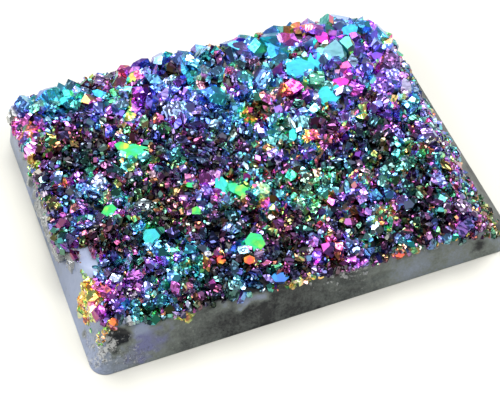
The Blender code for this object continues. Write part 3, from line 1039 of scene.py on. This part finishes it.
def standoutPlaces():
    places = []
    for x, y, over, radius, tint, bright in standouts:
        x, y = x * mm, y * mm
        at = Vector((x, y, crustHeight(x, y) + over * mm))
        facing = Vector((random.uniform(*druse["facingX"]), random.uniform(*druse["facingY"]), 1.0))
        facing = facing.normalized()
        places.append((at, facing, radius * mm, 0.0, (tint, druse["facingSpread"], bright), facing))
    return places


def coatingAt(at):
    # the film and the painted brightness of the crust at a point
    coarse = coarseness(at.x, at.y)
    much, wide = looks["brightFine"]
    bright = looks["bright"] + much * coarse * noise.noise(at / (wide * coarse * mm) + Vector((3, 3, 3)))
    much, wide = looks["brightBroad"]
    # painted light: the crust is made lighter towards the back, where it is coarser
    bright += much * noise.noise(at / (wide * mm)) + looks["paintedBackLight"] * (coarse - 1.0)
    much, wide = looks["filmBroad"]
    tint = looks["film"] + much * noise.noise(at / (wide * mm))
    much, wide = looks["filmFine"]
    tint += much * noise.noise(at / (wide * coarse * mm))
    # crystals painted brighter lean towards cyan, dimmer ones towards violet and magenta
    tint += looks["filmBright"] * (bright - 0.5)
    for x, y, reach, own, paintedLightAndShade in colourAndPaintedLightPatches:
        away = math.hypot(at.x - x * mm, at.y - y * mm) / (reach * mm)
        if away < looks["patchEnd"]:
            weight = math.exp(-away * away)
            # painted light and shade: the patch makes the crust lighter or darker there
            bright += looks["patchBright"] * paintedLightAndShade * weight
            if own is not None:
                apart = (own - tint + 0.5) % 1.0 - 0.5
                tint += apart * min(1.0, looks["patchFilm"] * weight)
    return tint, bright


def keptInside(points):
    # moves a crystal in from the walls, and down from the highest level, where it reaches past them
    half = np.array([stone["length"] / 2, stone["width"] / 2])
    middle = points.mean(axis=0)
    for axis, lean in enumerate(leansAt(middle[0] / stone["length"], middle[1] / stone["width"])):
        past = np.abs(points[:, axis]) - (half[axis] - lean * points[:, 2])
        past = past[np.sign(points[:, axis]) == np.sign(middle[axis])]
        low = max(0.0, points[:, 2].min())
        reach = druse["overhang"]
        if axis == 0 and middle[0] < 0.0:
            away = (middle[1] - heaps[0][0][1] * mm) / druse["heapReach"]
            reach += druse["heapOverhang"] * math.exp(-away * away)
        excess = past.max() - min(reach, lean * low - druse["wallGap"])
        if excess > 0.0:
            points[:, axis] -= math.copysign(excess, middle[axis])
    points[:, 2] -= max(0.0, points[:, 2].max() - druse["highest"])
    points[:, 2] = np.maximum(points[:, 2], druse["floorGap"])
    return points


def normalOf(points, face):
    # a face's normal, as long as twice its area
    corners = points[face]
    return np.cross(corners, np.roll(corners, -1, axis=0)).sum(axis=0)


def placedCrystal(place, shape, faces):
    # the points of one crystal where it grows
    at, axis, radius, lean, _, facing = place
    about = Matrix.Rotation(random.uniform(0.0, math.tau), 3, "Z")
    upright = axis.to_track_quat("Z", "Y").to_matrix() @ about
    if facing:
        normals = [normalOf(shape, face) for face in faces]
        widest = max(range(len(faces)), key=lambda index: np.linalg.norm(normals[index]))
        level = Vector(normals[widest]).rotation_difference(Vector((0, 0, 1))).to_matrix()
        turned = (shape * radius) @ np.array(upright @ level).T
        return keptInside(turned - turned[faces[widest]].mean(axis=0) + np.array(at))
    tilt = Matrix.Rotation(lean * random.random() ** druse["tiltBias"], 3, "X")
    spin = Matrix.Rotation(random.uniform(0.0, math.tau), 3, "Z")
    stand = random.uniform(*druse["stand"]) * radius
    turned = (shape * radius) @ np.array(upright @ tilt @ spin).T
    return keptInside(turned + np.array(at) + np.array(axis) * stand)


def lookOf(place):
    # film, painted brightness, frost and depth of colour of one crystal
    at, _, radius, _, coating, facing = place
    if len(coating) == 3:
        tint, spread, bright = coating
        tint += random.uniform(-spread, spread)
    else:
        tint, bright = coatingAt(at)
        tint += random.gauss(0.0, looks["filmSpread"])
        bright += random.gauss(0.0, looks["brightSpread"])
    fineness = (1.0 + druse["coarser"] - coarseness(at.x, at.y)) / druse["coarser"]
    coarsest, finest = looks["frost"]
    frost = random.random() ** looks["frostBias"] * (coarsest + finest * fineness)
    start, span = looks["frostRadius"]
    much, coarsest, finest = looks["frostLarge"]
    frost += much * smoothstep((radius / mm - start) / span) * (coarsest + finest * fineness)
    start, span = looks["depthRadius"]
    usual = looks["depth"] + looks["depthLarge"] * smoothstep((radius / mm - start) / span)
    depth = random.gauss(usual, looks["depthSpread"])
    if facing:
        frost, depth = looks["facing"]
    elif coating:
        frost *= looks["frostOnWalls"]
    return tint, bright, frost, depth


def joinCrystals(name, places, templates, material):
    points, loops, starts, grains = [], [], [], []
    values = {"film": [], "painted_light_and_tone": [], "frost": [], "depth": []}
    swingX, swingY = looks["swing"]
    total = 0
    for place in places:
        shape, faces = random.choice(templates)
        placed = placedCrystal(place, shape, faces)
        tint, bright, frost, depth = lookOf(place)
        coating, facing = place[4:]
        points.append(placed)
        apart = random.uniform(-looks["grainApart"], looks["grainApart"]) * mm
        grains.append(shape * place[2] + apart)
        for face in faces:
            loops.extend(total + index for index in face)
            starts.append(len(face))
            normal = normalOf(placed, face)
            normal = normal / (np.linalg.norm(normal) + 1e-12)
            swing = 0.0 if coating else swingX * normal[0] - swingY * normal[1]
            moreTint, moreBright, moreFrost = (random.uniform(-most, most) for most in looks["faces"])
            values["film"].append((tint + swing + moreTint) % 1.0)
            values["painted_light_and_tone"].append(clamped(bright + moreBright))
            values["frost"].append(clamped(frost + moreFrost * (not facing)))
            values["depth"].append(depth)
        total += len(placed)
    points = np.concatenate(points)
    mesh = bpy.data.meshes.new(name)
    mesh.vertices.add(len(points))
    mesh.vertices.foreach_set("co", points.ravel())
    mesh.loops.add(len(loops))
    mesh.loops.foreach_set("vertex_index", loops)
    mesh.polygons.add(len(starts))
    mesh.polygons.foreach_set("loop_start", np.concatenate([[0], np.cumsum(starts)[:-1]]))
    mesh.update(calc_edges=True)
    mesh.shade_flat()
    for label, amounts in values.items():
        mesh.attributes.new(label, "FLOAT", "FACE").data.foreach_set("value", amounts)
    grain = mesh.attributes.new("grain", "FLOAT_VECTOR", "POINT")
    grain.data.foreach_set("vector", np.concatenate(grains).ravel())
    mesh.validate()
    print(name, "triangles:", sum(size - 2 for size in starts))
    return newObject(mesh, name, material)


stage = {
    # azimuth 0 is the front, -90 the left
    "cameraAzimuth": -20.6,
    "cameraElevation": 51.4,
    "cameraDistance": 84.0 * mm,
    "cameraTarget": (-0.6 * mm, -1.0 * mm, 0.0),
    "lens": 100.8,
    "floorSize": 1.2,
    "sky": {"Color": (0.9, 0.95, 1.0), "Strength": 0.24},
    # name, azimuth, elevation, distance, size, watts
    "lights": (
        ("ceiling", 150, 66, 0.6, (1.0, 0.8), 3.0),
        ("left softbox", -95, 42, 0.5, (0.22, 0.18), 1.0),
        ("back softbox", 165, 55, 0.5, (0.24, 0.18), 1.5),
        ("right softbox", 75, 50, 0.5, (0.18, 0.18), 0.6),
    ),
}


def placeAround(name, data, target, azimuth, elevation, distance):
    # puts a camera or a light where it looks at the target
    azimuth, elevation = math.radians(azimuth), math.radians(elevation)
    away = Vector((
        math.sin(azimuth) * math.cos(elevation),
        -math.cos(azimuth) * math.cos(elevation),
        math.sin(elevation),
    ))
    holder = bpy.data.objects.new(name, data)
    bpy.context.scene.collection.objects.link(holder)
    holder.location = Vector(target) + away * distance
    holder.rotation_euler = (-away).to_track_quat("-Z", "Y").to_euler()
    return holder


def placeCamera():
    camera = bpy.data.cameras.new("camera")
    camera.lens = stage["lens"]
    camera.clip_start = 1.0 * mm
    bpy.context.scene.camera = placeAround(
        "camera", camera, stage["cameraTarget"], stage["cameraAzimuth"], stage["cameraElevation"],
        stage["cameraDistance"],
    )


def makeStage():
    floor = bmesh.new()
    bmesh.ops.create_grid(floor, x_segments=1, y_segments=1, size=stage["floorSize"] / 2)
    mesh = bpy.data.meshes.new("floor")
    floor.to_mesh(mesh)
    floor.free()
    newObject(mesh, "floor", plainMaterial("pale paper", paper))
    world = bpy.data.worlds.new("studio")
    world.use_nodes = True
    feed(world.node_tree, world.node_tree.nodes["Background"], stage["sky"])
    bpy.context.scene.world = world
    bpy.context.scene.view_settings.view_transform = "Standard"
    for name, azimuth, elevation, distance, size, watts in stage["lights"]:
        light = bpy.data.lights.new(name, "AREA")
        light.shape = "RECTANGLE"
        light.size, light.size_y = size
        light.energy = watts
        placeAround(name, light, (0, 0, 0), azimuth, elevation, distance)


slabPiece = makeSlab(slabMaterial())
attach(slabPiece, "root")
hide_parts("druzy_stone")
print("slab made")

templates = [crystalTemplate() for _ in range(druse["templates"])]
ground = BVHTree.FromObject(slabPiece, bpy.context.evaluated_depsgraph_get())
places = crystalPlaces() + wallPlaces(wallPatches, ground)
places += heapPlaces(heaps, ground) + standoutPlaces()
barePlaces = wallPlaces(barePatches, ground) + heapPlaces(bareHeaps, ground)
coat = crustMaterial()
groups = (
    ("druse_crystals", [place for place in places if place[2] > druse["fine"]], coat),
    ("druse_fine", [place for place in places if place[2] <= druse["fine"]], coat),
    ("bare_crystals", barePlaces, plainMaterial("bare quartz", quartz)),
)
for name, group, finish in groups:
    piece = joinCrystals(name, group, templates, finish)
    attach(piece, "root")
    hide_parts("druzy_stone")
print("druse made")

makeStage()
placeCamera()
print("stage made")
